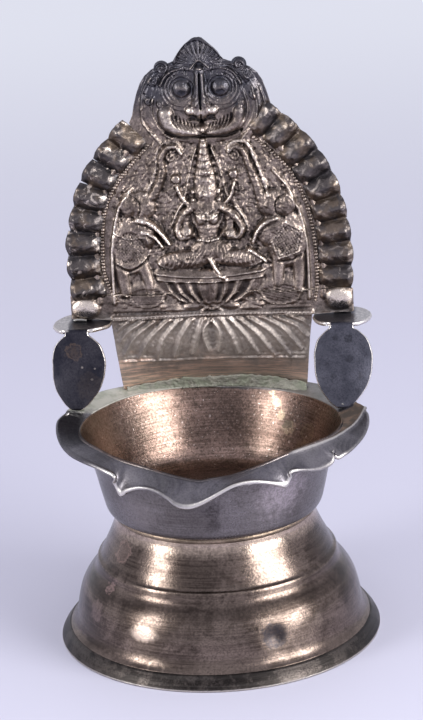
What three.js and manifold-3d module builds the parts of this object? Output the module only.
// A small silver oil lamp with an embossed back plate.
// A hollow spun foot carries a round cup with a lobed sheet rim. The plate stands on the back of the rim,
// and two leaf-shaped sheet brackets stand beside it and carry its shoulders.
// Millimetres, +Z up. The lamp stands on z = 0 with its axis on the Z axis, and its front looks along -Y.
import * as THREE from 'three';
import { mergeVertices } from 'three/addons/utils/BufferGeometryUtils.js';
import Module from 'manifold-3d';

const wasm = await Module();
wasm.setup();

// Sheet, solder and roundness
const SHEET = 0.8; // sheet of the plate, the rim and the brackets
const SOLDER_FILM = 0.3; // solder between two pieces that are joined
const TURN_STEPS = 60; // flats round every turned piece

// Foot
const FOOT_RADIUS = 33; // outer edge on the table
const FOOT_WALL = 0.9;
const EDGE_HEIGHT = 2.9; // flared edge ring
const EDGE_DRAW_IN = 1.8; // how far the ring draws in by its top
const EDGE_FLAT = 1.3; // width of the flat that it stands on
const DOME_STEP = 0.3; // the dome stands in from the ring by this
const RIDGE_RADIUS = 23.5; // small raised line between the dome and the neck
const RIDGE_HEIGHT = 16.9;
const RIDGE_PROUD = 0.45;
const NECK_RADIUS = 20.2;
const FOOT_HEIGHT = 26.6;
const NECK_RING_HEIGHT = 0.8;
const NECK_RING_PROUD = 0.5;

// Cup
const BOWL_WALL = 0.8;
const BOWL_HEIGHT = 16.5;
const BOWL_SHOULDER_RADIUS = 22.4; // where the rounded corner ends and the wall begins
const BOWL_CORNER_HEIGHT = 3;
const MOUTH_RADIUS = 27.3; // outside of the wall at the crease
const RIM_BOW = 0.9; // the mouth is a little higher at the sides than at the front and back
const SPOUT_DIP = 1; // the crease dips in a V at the front
const SPOUT_WIDTH = 20; // degrees each side of the front

// Lobed rim
const RIM_WIDTH = 4.5;
const LOBES = 6;
const LOBE_BULGE = 0.5; // how much further the middle of a lobe reaches than its ends
const SPOUT_TIP_DROP = 5.4; // front lobe, at its middle
const SPOUT_CORNER_DROP = 4.2; // front lobe, at its two cusps
const SPOUT_WAIST_DROP = 1.3; // front lobe, between tip and cusp
const SIDE_DROP = 1.8; // side lobes, at their front end
const BACK_RISE = 1.4; // the lobes at the back rise above the crease

// Back plate
const PLATE_SETBACK = 20; // from the axis to the middle of the sheet
const STEM_HEIGHT = 17.8; // from the rim to the shoulders
const STEM_TOP_WIDTH = 41.4;
const STEM_FOOT_WIDTH = 38;
const STEM_DISH = 5.2; // the stem's foot is bowed like the rim that it stands on
const SKIRT_HEIGHT = 10.4; // pleated part of the stem, below the shoulders
const PLEATS = 15;
const PLEAT_RELIEF = 0.6;
const PLEAT_FAN = 1.2; // how far the pleats draw together at their tops
const ARCH_HALF_WIDTH = 29.3;
const ARCH_STRAIGHT = 12; // the arch rises straight from the shoulders before it bends
const ARCH_RISE = 34.5;
const NICHE_HALF_WIDTH = 22.6;
const NICHE_RISE = 29.3;
const RIGHT_BLOCK_HEIGHT = 4; // plain block under the lowest rib
const LEFT_BLOCK_HEIGHT = 2.8;
const RIBS = 9; // on each side, the last one under the mask
const RIB_PITCH = 5.1;
const ARCH_BEND_LENGTH = 33.4; // length along the bent part for each radian
const RIB_RELIEF = 1.5;
const RIB_FULLNESS = 0.8; // 1 is a plain wave, and less is a fuller rib
const RIB_SCALLOP = 0.9; // how far the outline steps in between two ribs
const RIB_PROFILE = [0.9, 1, 1, 0.75]; // shares of the relief, from near the niche to the edge
const BORDER_RELIEF = 0.4; // raised line round the niche
const MASK_WIDTH = 28.2;
const MASK_HEIGHT = 16.4;
const MASK_BASE = 36.6; // bottom of the mask above the shoulders
const MASK_DOME = 1; // the mask's ground bulges by this
const MASK_RELIEF = 2.4;
const FINIAL_WIDTH = 9.6;
const FINIAL_HEIGHT = 4.9;
const FIGURE_HEIGHT = 34.7; // from the foot of the lotus seat to the tip of the crown
const FIGURE_BASE = 1.7; // the seat's foot above the shoulders
const FIGURE_RELIEF = 2.4;

// Leaf brackets
const LEAF_ANGLE = 108.9; // from the front of the lamp round to the leaf's tip on the rim
const LEAF_SEAT = 1.45; // the tip stands this far outside the crease
const LEAF_WIDTH = 11.4;
const LEAF_NECK = 4.6;
const LEAF_TIP = 2.1;
const LEAF_MIDDLE = 0.38; // share of the leaf's length from the shelf down to its widest place
const SHELF_WIDTH = 11.9;
const SHELF_OVERHANG = 1.2; // the shelf reaches this far behind the middle of the plate
const BEND_RADIUS = 0.15; // inside the bend between the shelf and the leaf
const SOLDER_DAB = 1.3; // radius of a dab
const SEAM_BEAD = 1.1; // thickness of the solder bead behind the plate's foot

// Heights and places that follow from the sizes above
const ringTop = FOOT_HEIGHT + NECK_RING_HEIGHT;
const creaseHeight = ringTop + BOWL_HEIGHT;
const rimInnerRadius = MOUTH_RADIUS - BOWL_WALL;
const shoulderHeight = creaseHeight + SOLDER_FILM + STEM_HEIGHT;
const plateFootSetback = MOUTH_RADIUS + SOLDER_FILM;
const leafRadius = MOUTH_RADIUS + LEAF_SEAT;
const leafSide = leafRadius * Math.sin(THREE.MathUtils.degToRad(LEAF_ANGLE));
const leafSetback = -leafRadius * Math.cos(THREE.MathUtils.degToRad(LEAF_ANGLE));

const clamp01 = (value) => Math.min(1, Math.max(0, value));
const mix = THREE.MathUtils.lerp;
const bell = (value) => Math.exp(-value * value);

// Solids

function toManifold(geometry) {
  const merged = geometry.index ? geometry : mergeVertices(geometry);
  return new wasm.Manifold(new wasm.Mesh({
    numProp: 3,
    vertProperties: new Float32Array(merged.attributes.position.array),
    triVerts: new Uint32Array(merged.index.array),
  }));
}

function fromManifold(solid) {
  const mesh = solid.getMesh();
  const geometry = new THREE.BufferGeometry();
  geometry.setAttribute('position', new THREE.BufferAttribute(mesh.vertProperties, 3));
  geometry.setIndex(new THREE.BufferAttribute(mesh.triVerts, 1));
  return geometry;
}

function signedVolume(geometry) {
  const position = geometry.attributes.position;
  const corner = [new THREE.Vector3(), new THREE.Vector3(), new THREE.Vector3()];
  let volume = 0;
  for (let i = 0; i < geometry.index.count; i += 3) {
    corner.forEach((point, k) => point.fromBufferAttribute(position, geometry.index.getX(i + k)));
    volume += corner[0].dot(corner[1].cross(corner[2])) / 6;
  }
  return volume;
}

// Positions only, shared corners merged, flat slivers dropped and every face pointing out.
function closedSolid(source) {
  const geometry = source.clone();
  Object.keys(geometry.attributes).forEach((name) => {
    if (name !== 'position') geometry.deleteAttribute(name);
  });
  const merged = mergeVertices(geometry, 1e-4);
  const index = [];
  for (let i = 0; i < merged.index.count; i += 3) {
    const [a, b, c] = [0, 1, 2].map((k) => merged.index.getX(i + k));
    if (a !== b && b !== c && c !== a) index.push(a, b, c);
  }
  merged.setIndex(index);
  if (signedVolume(merged) < 0) {
    for (let i = 0; i < index.length; i += 3) [index[i], index[i + 1]] = [index[i + 1], index[i]];
    merged.setIndex(index);
  }
  return merged;
}

function unite(geometries) {
  const solids = geometries.map(toManifold);
  return fromManifold(solids.reduce((sum, solid) => sum.add(solid)));
}

// Moves every corner of a solid by a rule of its place.
function bend(geometry, rule) {
  const position = geometry.attributes.position;
  const point = new THREE.Vector3();
  for (let i = 0; i < position.count; i += 1) {
    rule(point.fromBufferAttribute(position, i));
    position.setXYZ(i, point.x, point.y, point.z);
  }
  return geometry;
}

// A turned solid: profile points are (radius, height), on the Z axis, first flat at the front.
function turned(profile) {
  return closedSolid(new THREE.LatheGeometry(profile, TURN_STEPS).rotateX(Math.PI / 2));
}

// The inside of a turned wall: its outer line moved inwards by the wall's thickness.
function insideLine(outer, wall) {
  return outer.map((point, i) => {
    const before = outer[Math.max(0, i - 1)];
    const after = outer[Math.min(outer.length - 1, i + 1)];
    const along = after.clone().sub(before).normalize();
    return new THREE.Vector2(point.x - along.y * wall, point.y + along.x * wall);
  });
}

// A sheet between two faces, each given by a point for (across, up) with both from 0 to 1.
function sheetSolid(columns, rows, faceAt) {
  const points = [];
  const cornerAt = (side, i, j) => side * (columns + 1) * (rows + 1) + j * (columns + 1) + i;
  for (let side = 0; side < 2; side += 1) {
    for (let j = 0; j <= rows; j += 1) {
      for (let i = 0; i <= columns; i += 1) points.push(...faceAt(i / columns, j / rows, side).toArray());
    }
  }
  const index = [];
  const quad = (a, b, c, d) => index.push(a, b, c, a, c, d);
  for (let j = 0; j < rows; j += 1) {
    for (let i = 0; i < columns; i += 1) {
      quad(cornerAt(0, i, j), cornerAt(0, i + 1, j), cornerAt(0, i + 1, j + 1), cornerAt(0, i, j + 1));
      quad(cornerAt(1, i, j), cornerAt(1, i, j + 1), cornerAt(1, i + 1, j + 1), cornerAt(1, i + 1, j));
    }
  }
  for (let i = 0; i < columns; i += 1) {
    quad(cornerAt(0, i, 0), cornerAt(1, i, 0), cornerAt(1, i + 1, 0), cornerAt(0, i + 1, 0));
    quad(cornerAt(0, i, rows), cornerAt(0, i + 1, rows), cornerAt(1, i + 1, rows), cornerAt(1, i, rows));
  }
  for (let j = 0; j < rows; j += 1) {
    quad(cornerAt(0, 0, j), cornerAt(0, 0, j + 1), cornerAt(1, 0, j + 1), cornerAt(1, 0, j));
    const end = columns;
    quad(cornerAt(0, end, j), cornerAt(1, end, j), cornerAt(1, end, j + 1), cornerAt(0, end, j + 1));
  }
  const geometry = new THREE.BufferGeometry();
  geometry.setAttribute('position', new THREE.Float32BufferAttribute(points, 3));
  geometry.setIndex(index);
  return closedSolid(geometry);
}

// Foot

const ringTopRadius = FOOT_RADIUS - EDGE_DRAW_IN;

function footRim() {
  const innerTop = ringTopRadius - DOME_STEP - FOOT_WALL;
  return turned([
    new THREE.Vector2(FOOT_RADIUS - EDGE_FLAT, 0),
    new THREE.Vector2(FOOT_RADIUS, 0),
    new THREE.Vector2(FOOT_RADIUS, EDGE_HEIGHT * 0.3),
    new THREE.Vector2(ringTopRadius, EDGE_HEIGHT),
    new THREE.Vector2(innerTop, EDGE_HEIGHT),
    new THREE.Vector2(innerTop, EDGE_HEIGHT - FOOT_WALL),
    new THREE.Vector2(FOOT_RADIUS - EDGE_FLAT, 0),
  ]);
}

function domeOutline() {
  const foot = ringTopRadius - DOME_STEP;
  const span = foot - RIDGE_RADIUS;
  const rise = RIDGE_HEIGHT - EDGE_HEIGHT;
  const neckRise = FOOT_HEIGHT - RIDGE_HEIGHT;
  const flareTop = new THREE.Vector2(foot - span * 0.27, EDGE_HEIGHT + rise * 0.29);
  const path = new THREE.Path().moveTo(foot, EDGE_HEIGHT);
  path.quadraticCurveTo(foot - span * 0.2, EDGE_HEIGHT + rise * 0.12, flareTop.x, flareTop.y);
  const flare = path.getPoints(2);
  const bulge = new THREE.CubicBezierCurve(
    flareTop,
    new THREE.Vector2(foot - span * 0.35, EDGE_HEIGHT + rise * 0.53),
    new THREE.Vector2(foot - span * 0.74, EDGE_HEIGHT + rise * 0.78),
    new THREE.Vector2(RIDGE_RADIUS, RIDGE_HEIGHT - RIDGE_PROUD),
  ).getPoints(5).slice(1);
  const ridge = [
    new THREE.Vector2(RIDGE_RADIUS + RIDGE_PROUD * 0.6, RIDGE_HEIGHT),
    new THREE.Vector2(RIDGE_RADIUS - RIDGE_PROUD, RIDGE_HEIGHT + RIDGE_PROUD),
  ];
  const neck = new THREE.QuadraticBezierCurve(
    ridge[1],
    new THREE.Vector2(mix(NECK_RADIUS, RIDGE_RADIUS, 0.12), RIDGE_HEIGHT + neckRise * 0.42),
    new THREE.Vector2(NECK_RADIUS, FOOT_HEIGHT),
  ).getPoints(3).slice(1);
  return [...flare, ...bulge, ...ridge, ...neck];
}

function footDome() {
  const outer = domeOutline();
  const inner = insideLine(outer, FOOT_WALL).filter((_, i) => i % 2 === 0);
  inner[0].set(outer[0].x - FOOT_WALL, EDGE_HEIGHT);
  inner.push(new THREE.Vector2(NECK_RADIUS - FOOT_WALL, FOOT_HEIGHT));
  return turned([...outer, ...inner.reverse(), outer[0].clone()]);
}

function neckSolderRing() {
  const innerRadius = NECK_RADIUS - FOOT_WALL;
  return turned([
    new THREE.Vector2(innerRadius, FOOT_HEIGHT),
    new THREE.Vector2(NECK_RADIUS, FOOT_HEIGHT),
    new THREE.Vector2(NECK_RADIUS + NECK_RING_PROUD, FOOT_HEIGHT + NECK_RING_HEIGHT / 2),
    new THREE.Vector2(NECK_RADIUS, ringTop),
    new THREE.Vector2(innerRadius, ringTop),
    new THREE.Vector2(innerRadius, FOOT_HEIGHT),
  ]);
}

// Cup and rim

// Angle from the front, -180 to 180 degrees, positive towards +X.
const angleFromFront = (x, y) => THREE.MathUtils.radToDeg(Math.atan2(x, -y));

function creaseWave(angle) {
  const turn = THREE.MathUtils.degToRad(angle);
  return RIM_BOW * (Math.cos(turn) - Math.cos(2 * turn)) - SPOUT_DIP * bell(angle / SPOUT_WIDTH);
}

function bowl() {
  const wallFoot = new THREE.Vector2(BOWL_SHOULDER_RADIUS, ringTop + BOWL_CORNER_HEIGHT);
  const corner = new THREE.QuadraticBezierCurve(
    new THREE.Vector2(NECK_RADIUS, ringTop),
    new THREE.Vector2(mix(NECK_RADIUS, BOWL_SHOULDER_RADIUS, 0.8), ringTop),
    wallFoot,
  ).getPoints(3);
  const flare = MOUTH_RADIUS - BOWL_SHOULDER_RADIUS;
  const wall = new THREE.QuadraticBezierCurve(
    wallFoot,
    new THREE.Vector2(BOWL_SHOULDER_RADIUS + flare * 0.2, mix(wallFoot.y, creaseHeight, 0.6)),
    new THREE.Vector2(MOUTH_RADIUS, creaseHeight),
  ).getPoints(4).slice(1);
  const outer = [...corner, ...wall];
  const inner = insideLine(outer, BOWL_WALL);
  inner[inner.length - 1].set(MOUTH_RADIUS - BOWL_WALL, creaseHeight);
  const floor = [new THREE.Vector2(0, ringTop)];
  const inside = [...inner.reverse(), new THREE.Vector2(0, ringTop + BOWL_WALL)];
  const waveFrom = mix(ringTop, creaseHeight, 0.45);
  return bend(turned([...floor, ...outer, ...inside]), (point) => {
    const share = clamp01((point.z - waveFrom) / (creaseHeight - waveFrom));
    point.z += share * share * creaseWave(angleFromFront(point.x, point.y));
  });
}

// Where an angle falls in its lobe: -1 and 1 at the cusps, 0 in the middle. Lobe 0 is the front one.
function lobeAt(angle) {
  const width = 360 / LOBES;
  const lobe = Math.round((angle / width) * 0.999);
  return { lobe, place: (angle - lobe * width) / (width / 2) };
}

// How far the rim's outer edge lies below the crease.
function edgeDrop(angle) {
  const { lobe, place } = lobeAt(angle);
  const cusp = Math.abs(place) ** 6;
  if (lobe === 0) {
    return SPOUT_WAIST_DROP + (SPOUT_TIP_DROP - SPOUT_WAIST_DROP) * bell(place / 0.3)
      + (SPOUT_CORNER_DROP - SPOUT_WAIST_DROP) * cusp;
  }
  const round = clamp01((Math.abs(angle) - 180 / LOBES) / 90);
  return mix(SIDE_DROP, -BACK_RISE, round);
}

function rimReach(angle) {
  const { place } = lobeAt(angle);
  return RIM_WIDTH - LOBE_BULGE * place * place;
}

// Height of the rim's lower face. It lies flat on the cup's edge and falls away outside it.
function rimHeight(angle, radius) {
  const share = clamp01((radius - MOUTH_RADIUS) / (rimReach(angle) - BOWL_WALL));
  return creaseHeight + SOLDER_FILM + creaseWave(angle) - edgeDrop(angle) * share ** 1.2;
}

function rimTopAt(x, y) {
  return rimHeight(angleFromFront(x, y), Math.hypot(x, y)) + SHEET;
}

function bowlRim() {
  const bands = [0, BOWL_WALL / RIM_WIDTH, 0.45, 0.72, 1];
  const lower = bands.map((share) => new THREE.Vector2(rimInnerRadius + share, 0));
  const upper = bands.map((share) => new THREE.Vector2(rimInnerRadius + share, SHEET)).reverse();
  return bend(turned([...lower, ...upper, lower[0].clone()]), (point) => {
    const angle = angleFromFront(point.x, point.y);
    const turn = THREE.MathUtils.degToRad(angle);
    const share = Math.hypot(point.x, point.y) - rimInnerRadius;
    const radius = rimInnerRadius + share * rimReach(angle);
    point.set(radius * Math.sin(turn), -radius * Math.cos(turn), point.z + rimHeight(angle, radius));
  });
}

// Back plate. u runs across the plate from its middle line, and h above the shoulders.

const platePlace = (u, h, out) => [u, PLATE_SETBACK - out, shoulderHeight + h];

// A rounded form that stands out of the sheet, from one point to another, flat where it meets the sheet.
function embossed({ line, width, relief }) {
  const [u1, h1, u2, h2] = line;
  const rings = 3;
  const quarter = Array.from({ length: rings + 1 }, (_, i) => {
    const turn = (i / rings) * (Math.PI / 2);
    return new THREE.Vector2(Math.cos(turn), Math.sin(turn));
  });
  quarter[rings].x = 0;
  const dome = new THREE.LatheGeometry([new THREE.Vector2(0, 0), ...quarter], 8);
  const length = Math.hypot(u2 - u1, h2 - h1) / 2 + width / 2;
  dome.rotateX(Math.PI / 2);
  dome.scale(length, width / 2, relief);
  dome.rotateZ(Math.atan2(h2 - h1, u2 - u1));
  dome.rotateX(Math.PI / 2);
  const solid = closedSolid(dome);
  return solid.translate(...platePlace((u1 + u2) / 2, (h1 + h2) / 2, 0));
}

const mirrored = (forms) => forms.flatMap((form) => {
  const [u1, h1, u2, h2] = form.line;
  return [form, { ...form, line: [-u1, h1, -u2, h2] }];
});

// The seated goddess and the elephants. Lines and widths are shares of the figure's height, from the
// middle of the seat's foot, and reliefs are shares of the deepest relief.
const figureForms = [
  { name: 'seat rim', line: [-0.27, 0.185, 0.27, 0.185], width: 0.11, relief: 0.68 },
  { name: 'seat middle', line: [-0.21, 0.13, 0.21, 0.13], width: 0.16, relief: 0.68 },
  { name: 'seat foot', line: [-0.11, 0.06, 0.11, 0.06], width: 0.15, relief: 0.62 },
  { name: 'lap', line: [-0.25, 0.277, 0.25, 0.277], width: 0.13, relief: 0.83 },
  { name: 'waist', line: [-0.08, 0.335, 0.1, 0.335], width: 0.15, relief: 0.8 },
  { name: 'body', line: [0, 0.43, 0, 0.57], width: 0.17, relief: 0.78 },
  { name: 'shoulders', line: [-0.09, 0.605, 0.09, 0.605], width: 0.075, relief: 0.68 },
  { name: 'head', line: [0, 0.685, 0, 0.71], width: 0.14, relief: 0.83 },
  { name: 'crown foot', line: [0, 0.77, 0, 0.85], width: 0.125, relief: 0.75 },
  { name: 'crown top', line: [0, 0.89, 0, 0.98], width: 0.08, relief: 0.75 },
  ...mirrored([
    { name: 'upper arm', line: [0.1, 0.595, 0.2, 0.475], width: 0.062, relief: 0.72 },
    { name: 'forearm', line: [0.2, 0.47, 0.14, 0.425], width: 0.055, relief: 0.76 },
    { name: 'hand', line: [0.13, 0.435, 0.135, 0.445], width: 0.09, relief: 0.88 },
    { name: 'sleeve', line: [0.125, 0.56, 0.12, 0.48], width: 0.07, relief: 0.5 },
    { name: 'raised arm', line: [0.1, 0.61, 0.165, 0.74], width: 0.04, relief: 0.5 },
    { name: 'lotus', line: [0.17, 0.785, 0.173, 0.787], width: 0.066, relief: 0.5 },
    { name: 'elephant body', line: [0.47, 0.31, 0.465, 0.435], width: 0.225, relief: 0.73 },
    { name: 'elephant shoulder', line: [0.39, 0.45, 0.405, 0.475], width: 0.2, relief: 0.68 },
    { name: 'elephant hind leg', line: [0.52, 0.27, 0.512, 0.1], width: 0.08, relief: 0.56 },
    { name: 'elephant front leg', line: [0.41, 0.27, 0.38, 0.09], width: 0.075, relief: 0.56 },
    { name: 'elephant foreleg', line: [0.4, 0.53, 0.27, 0.395], width: 0.05, relief: 0.85 },
    { name: 'elephant head', line: [0.385, 0.605, 0.385, 0.62], width: 0.175, relief: 0.75 },
    { name: 'elephant ear', line: [0.455, 0.6, 0.457, 0.636], width: 0.13, relief: 0.83 },
    { name: 'trunk', line: [0.33, 0.66, 0.26, 0.9], width: 0.06, relief: 0.6 },
    { name: 'trunk tip', line: [0.25, 0.93, 0.16, 0.965], width: 0.05, relief: 0.6 },
    { name: 'elephant pad', line: [0.34, 0.068, 0.46, 0.068], width: 0.16, relief: 0.42 },
    { name: 'outer leaf', line: [0.2, -0.02, 0.27, -0.02], width: 0.055, relief: 0.42 },
    { name: 'inner leaf', line: [0.07, -0.012, 0.13, -0.012], width: 0.05, relief: 0.42 },
  ]),
];

// The lion mask, in shares of its half width from its middle.
const maskForms = [
  { name: 'nose bridge', line: [0, 0.12, 0, 0.4], width: 0.17, relief: 1 },
  { name: 'nose', line: [0, -0.08, 0, 0.12], width: 0.28, relief: 1.1 },
  { name: 'lower lip', line: [-0.06, -0.42, 0.06, -0.42], width: 0.14, relief: 0.8 },
  ...mirrored([
    { name: 'eye', line: [0.277, 0.19, 0.277, 0.19], width: 0.28, relief: 0.83 },
    { name: 'brow', line: [0.12, 0.44, 0.5, 0.4], width: 0.07, relief: 0.7 },
    { name: 'nostril', line: [0.15, -0.13, 0.155, -0.13], width: 0.22, relief: 1.05 },
    { name: 'cheek', line: [0.12, -0.42, 0.36, -0.41], width: 0.17, relief: 0.9 },
    { name: 'cheek side', line: [0.42, -0.36, 0.51, -0.22], width: 0.19, relief: 0.85 },
    { name: 'upper mane', line: [0.7, 0.3, 0.8, 0], width: 0.15, relief: 0.62 },
    { name: 'lower mane', line: [0.79, -0.1, 0.66, -0.46], width: 0.14, relief: 0.6 },
    { name: 'ear curl', line: [0.567, 0.55, 0.567, 0.55], width: 0.255, relief: 0.62 },
  ]),
];

// Forms in shares of a size, set at a height above the shoulders.
function embossedForms(forms, scale, base, relief) {
  return forms.map((form) => embossed({
    line: form.line.map((share, i) => share * scale + (i % 2 ? base : 0)),
    width: form.width * scale,
    relief: form.relief * relief,
  }));
}

// Both faces of the sheet stand out by the same relief, as a sheet that is worked from behind.
function platePoint(u, height, setback, relief, side) {
  const face = side === 0 ? -SHEET / 2 : SHEET / 2;
  return new THREE.Vector3(u, setback + face - relief, height);
}

function nichePanel() {
  const side = NICHE_HALF_WIDTH + SHEET;
  const rise = NICHE_RISE + SHEET;
  const shape = new THREE.Shape().moveTo(-side, 0).lineTo(side, 0).lineTo(side, ARCH_STRAIGHT);
  shape.absellipse(0, ARCH_STRAIGHT, side, rise, 0, Math.PI, false, 0);
  shape.closePath();
  const panel = new THREE.ExtrudeGeometry(shape, { depth: SHEET, bevelEnabled: false, curveSegments: 24 });
  panel.rotateX(Math.PI / 2).translate(...platePlace(0, 0, -SHEET / 2));
  return closedSolid(panel);
}

// A point of the arch at a length along it and a share of the way out from the niche to the edge.
function archPoint(length, out) {
  const halfWidth = mix(NICHE_HALF_WIDTH, ARCH_HALF_WIDTH, out);
  const rise = mix(NICHE_RISE, ARCH_RISE, out);
  if (length <= ARCH_STRAIGHT) return [halfWidth, length];
  const turn = (length - ARCH_STRAIGHT) / ARCH_BEND_LENGTH;
  return [halfWidth * Math.cos(turn), ARCH_STRAIGHT + rise * Math.sin(turn)];
}

function archBand(hand) {
  const stepsPerRib = 4;
  const blockSteps = 2;
  const blockHeight = hand > 0 ? RIGHT_BLOCK_HEIGHT : LEFT_BLOCK_HEIGHT;
  const rows = blockSteps + RIBS * stepsPerRib;
  const bands = 4;
  return sheetSolid(bands, rows, (across, up, side) => {
    const row = Math.round(up * rows);
    const inBlock = row <= blockSteps;
    const ribShare = (row - blockSteps) / stepsPerRib;
    const length = inBlock ? blockHeight * row / blockSteps : blockHeight + ribShare * RIB_PITCH;
    const wave = inBlock ? Math.sin(Math.PI * row / blockSteps) : Math.abs(Math.sin(Math.PI * ribShare));
    const crest = wave ** RIB_FULLNESS;
    const scallop = RIB_SCALLOP / (ARCH_HALF_WIDTH - NICHE_HALF_WIDTH) * (1 - crest) * across;
    const [u, h] = archPoint(length, across - scallop);
    const reliefs = [BORDER_RELIEF, ...RIB_PROFILE.map((share) => RIB_RELIEF * share * crest)];
    return platePoint(hand * u, shoulderHeight + h, PLATE_SETBACK, reliefs[Math.round(across * bands)], side);
  });
}

// Half width of the mask at a share of its height.
function maskHalfWidth(up) {
  const round = Math.sqrt(Math.max(0, 1 - (2 * up - 1) ** 2));
  const fullness = mix(0.36, 1, round ** 0.7);
  const lean = up > 0.5 ? 1 - 0.35 * (up - 0.5) : 1;
  return MASK_WIDTH / 2 * fullness * lean;
}

function maskPanel() {
  return sheetSolid(8, 12, (across, up, side) => {
    const u = (across * 2 - 1) * maskHalfWidth(up);
    const dome = side === 0 ? MASK_DOME * Math.sin(Math.PI * across) * Math.sin(Math.PI * up) : 0;
    return platePoint(u, shoulderHeight + MASK_BASE + up * MASK_HEIGHT, PLATE_SETBACK, dome, side);
  });
}

function finialLeaf() {
  const foot = SHEET;
  return sheetSolid(8, 5, (across, up, side) => {
    const width = FINIAL_WIDTH / 2 * (1 - up ** 2.2) + SHEET / 2;
    const u = (across * 2 - 1) * width;
    const vein = 0.35 * Math.abs(Math.cos(4 * Math.PI * across)) * (1 - up);
    const h = MASK_BASE + MASK_HEIGHT - foot + up * (FINIAL_HEIGHT + foot);
    return platePoint(u, shoulderHeight + h, PLATE_SETBACK, vein, side);
  });
}

// Where the stem's foot stands, across the plate.
function stemFoot(u) {
  const share = 2 * u / STEM_FOOT_WIDTH;
  const setback = plateFootSetback + SHEET / 2 - STEM_DISH * share * share;
  return { setback, height: rimTopAt(u, setback) + SOLDER_FILM };
}

function stem() {
  return sheetSolid(PLEATS * 2, 7, (across, up, side) => {
    const spread = across * 2 - 1;
    const halfWidth = mix(STEM_FOOT_WIDTH, STEM_TOP_WIDTH, clamp01(up * 1.4)) / 2;
    const foot = stemFoot(spread * halfWidth);
    const top = shoulderHeight + SHEET;
    const height = mix(foot.height, top, up);
    const down = 1 - up;
    const setback = mix(PLATE_SETBACK, foot.setback, down * down);
    const belowShoulder = shoulderHeight - height;
    const fan = 1 + PLEAT_FAN * clamp01(1 - belowShoulder / SKIRT_HEIGHT);
    const u = Math.sign(spread) * Math.abs(spread) ** fan * halfWidth;
    const inSkirt = belowShoulder > SHEET && belowShoulder < SKIRT_HEIGHT;
    const pleat = Math.round(across * PLEATS * 2) % 2 === 1 ? PLEAT_RELIEF : 0;
    return platePoint(u, height, setback, inSkirt ? pleat : 0, side);
  });
}

function backPlate() {
  const maskMiddle = MASK_BASE + MASK_HEIGHT / 2;
  return unite([
    nichePanel(),
    archBand(-1),
    archBand(1),
    maskPanel(),
    finialLeaf(),
    stem(),
    ...embossedForms(figureForms, FIGURE_HEIGHT, FIGURE_BASE, FIGURE_RELIEF),
    ...embossedForms(maskForms, MASK_WIDTH / 2, maskMiddle, MASK_RELIEF),
  ]);
}

function plateSolderSeam() {
  return sheetSolid(24, 2, (across, up, side) => {
    const u = (across * 2 - 1) * (STEM_FOOT_WIDTH / 2 - SEAM_BEAD);
    const foot = stemFoot(u);
    const behind = foot.setback + SHEET / 2 + SOLDER_FILM;
    const out = side === 0 ? 0 : SEAM_BEAD * (1 - up * 0.75);
    const y = behind + out;
    const base = rimTopAt(u, y) + SOLDER_FILM / 2;
    return new THREE.Vector3(u, y, base + up * SEAM_BEAD);
  });
}

// Brackets

const shelfTop = shoulderHeight - SOLDER_FILM;
const shelfLength = PLATE_SETBACK + SHELF_OVERHANG - leafSetback;

function leafFoot(hand) {
  return rimTopAt(hand * leafSide, leafSetback) + SOLDER_FILM;
}

// One strip of sheet: the round shelf lies flat, and the leaf hangs from its front edge.
function leafBracket(hand) {
  const shelfRows = 12;
  const bendRows = 3;
  const leafRows = 14;
  const rows = shelfRows + bendRows + leafRows;
  const leafTop = shelfTop - SHEET;
  const leafTip = leafFoot(hand);
  return sheetSolid(4, rows, (across, up, side) => {
    const row = Math.round(up * rows);
    const spread = across * 2 - 1;
    const offset = side === 0 ? -SHEET : 0;
    const x = hand * leafSide;
    if (row <= shelfRows) {
      const share = row / shelfRows;
      const half = Math.max(SHELF_WIDTH / 2 * Math.sqrt(Math.max(0, 1 - (1 - 2 * share) ** 2)),
        row === 0 ? SHEET : LEAF_NECK / 2);
      const y = PLATE_SETBACK + SHELF_OVERHANG - share * (shelfLength - SHEET);
      return new THREE.Vector3(x + spread * half, y, shelfTop + offset);
    }
    if (row < shelfRows + bendRows) {
      const turn = (row - shelfRows) / bendRows * Math.PI / 2;
      const radius = BEND_RADIUS + (side === 0 ? 0 : SHEET);
      const y = leafSetback + SHEET - Math.sin(turn) * radius;
      const z = leafTop - BEND_RADIUS + Math.cos(turn) * radius;
      return new THREE.Vector3(x + spread * LEAF_NECK / 2, y, z);
    }
    const share = (row - shelfRows - bendRows) / leafRows;
    const height = mix(leafTop - BEND_RADIUS, leafTip, share);
    const above = Math.sin(Math.min(1, share / LEAF_MIDDLE) * Math.PI / 2);
    const below = Math.cos(Math.max(0, share - LEAF_MIDDLE) / (1 - LEAF_MIDDLE) * Math.PI / 2);
    const half = share < LEAF_MIDDLE
      ? mix(LEAF_NECK, LEAF_WIDTH, above) / 2
      : mix(LEAF_TIP, LEAF_WIDTH, Math.max(0, below) ** 0.85) / 2;
    const y = leafSetback + SHEET - BEND_RADIUS - (side === 0 ? 0 : SHEET);
    return new THREE.Vector3(x + spread * half, y, height);
  });
}

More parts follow.
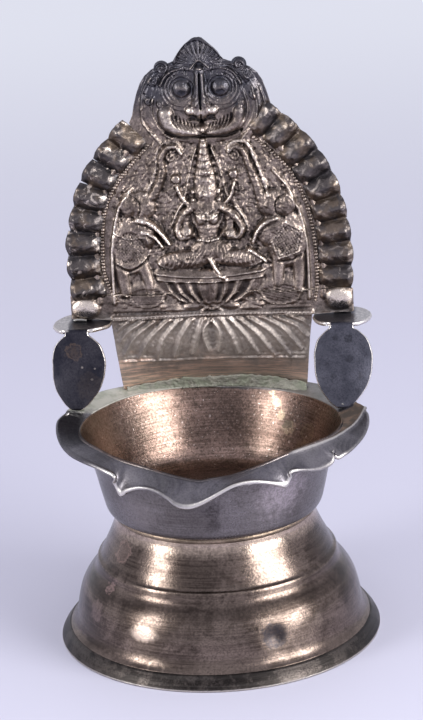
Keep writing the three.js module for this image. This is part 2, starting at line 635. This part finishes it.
function leafSolder(hand) {
  const x = hand * leafSide;
  const y = leafSetback + SHEET + SOLDER_FILM;
  return sheetSolid(4, 2, (across, up, side) => {
    const u = (across * 2 - 1) * SOLDER_DAB;
    const out = side === 0 ? 0 : SOLDER_DAB * (1 - up * 0.7);
    const base = rimTopAt(x + u, y + out) + SOLDER_FILM / 2;
    return new THREE.Vector3(x + u, y + out, base + up * SOLDER_DAB);
  });
}

function shoulderSolder(hand) {
  const x = hand * leafSide;
  const y = PLATE_SETBACK + SHEET / 2 + SOLDER_FILM;
  const length = SHELF_OVERHANG - SHEET / 2 - SOLDER_FILM;
  return sheetSolid(4, 2, (across, up, side) => {
    const u = (across * 2 - 1) * SOLDER_DAB * 1.4;
    const out = side === 0 ? 0 : length * (1 - up * 0.6);
    return new THREE.Vector3(x + u, y + out, shelfTop + up * SOLDER_DAB);
  });
}

// Finishes

const finish = (color, roughness, metalness) => ({ color, roughness, metalness });
const agedSilver = finish(0x8a8079, 0.38, 0.9);
const greySilver = finish(0x83828a, 0.35, 0.9);
const copperySilver = finish(0x8d6f5b, 0.42, 0.9);
const darkSilver = finish(0x4a484c, 0.45, 0.85);
const embossedSilver = finish(0x6f6760, 0.45, 0.85);
const greenSolder = finish(0x8b9484, 0.7, 0.4);

const lamp = new THREE.Group();

function place(name, geometry, look) {
  const mesh = new THREE.Mesh(geometry, new THREE.MeshStandardMaterial(look));
  mesh.name = name;
  lamp.add(mesh);
}

place('foot_rim', footRim(), darkSilver);
place('foot_dome', footDome(), agedSilver);
place('neck_solder_ring', neckSolderRing(), agedSilver);
place('bowl', bowl(), copperySilver);
place('bowl_rim', bowlRim(), greySilver);
place('back_plate', backPlate(), embossedSilver);
place('plate_solder_seam', plateSolderSeam(), greenSolder);
[['left', -1], ['right', 1]].forEach(([side, hand]) => {
  place(`leaf_bracket_${side}`, leafBracket(hand), darkSilver);
  place(`leaf_solder_${side}`, leafSolder(hand), greenSolder);
  place(`shoulder_solder_${side}`, shoulderSolder(hand), greenSolder);
});

export default lamp;
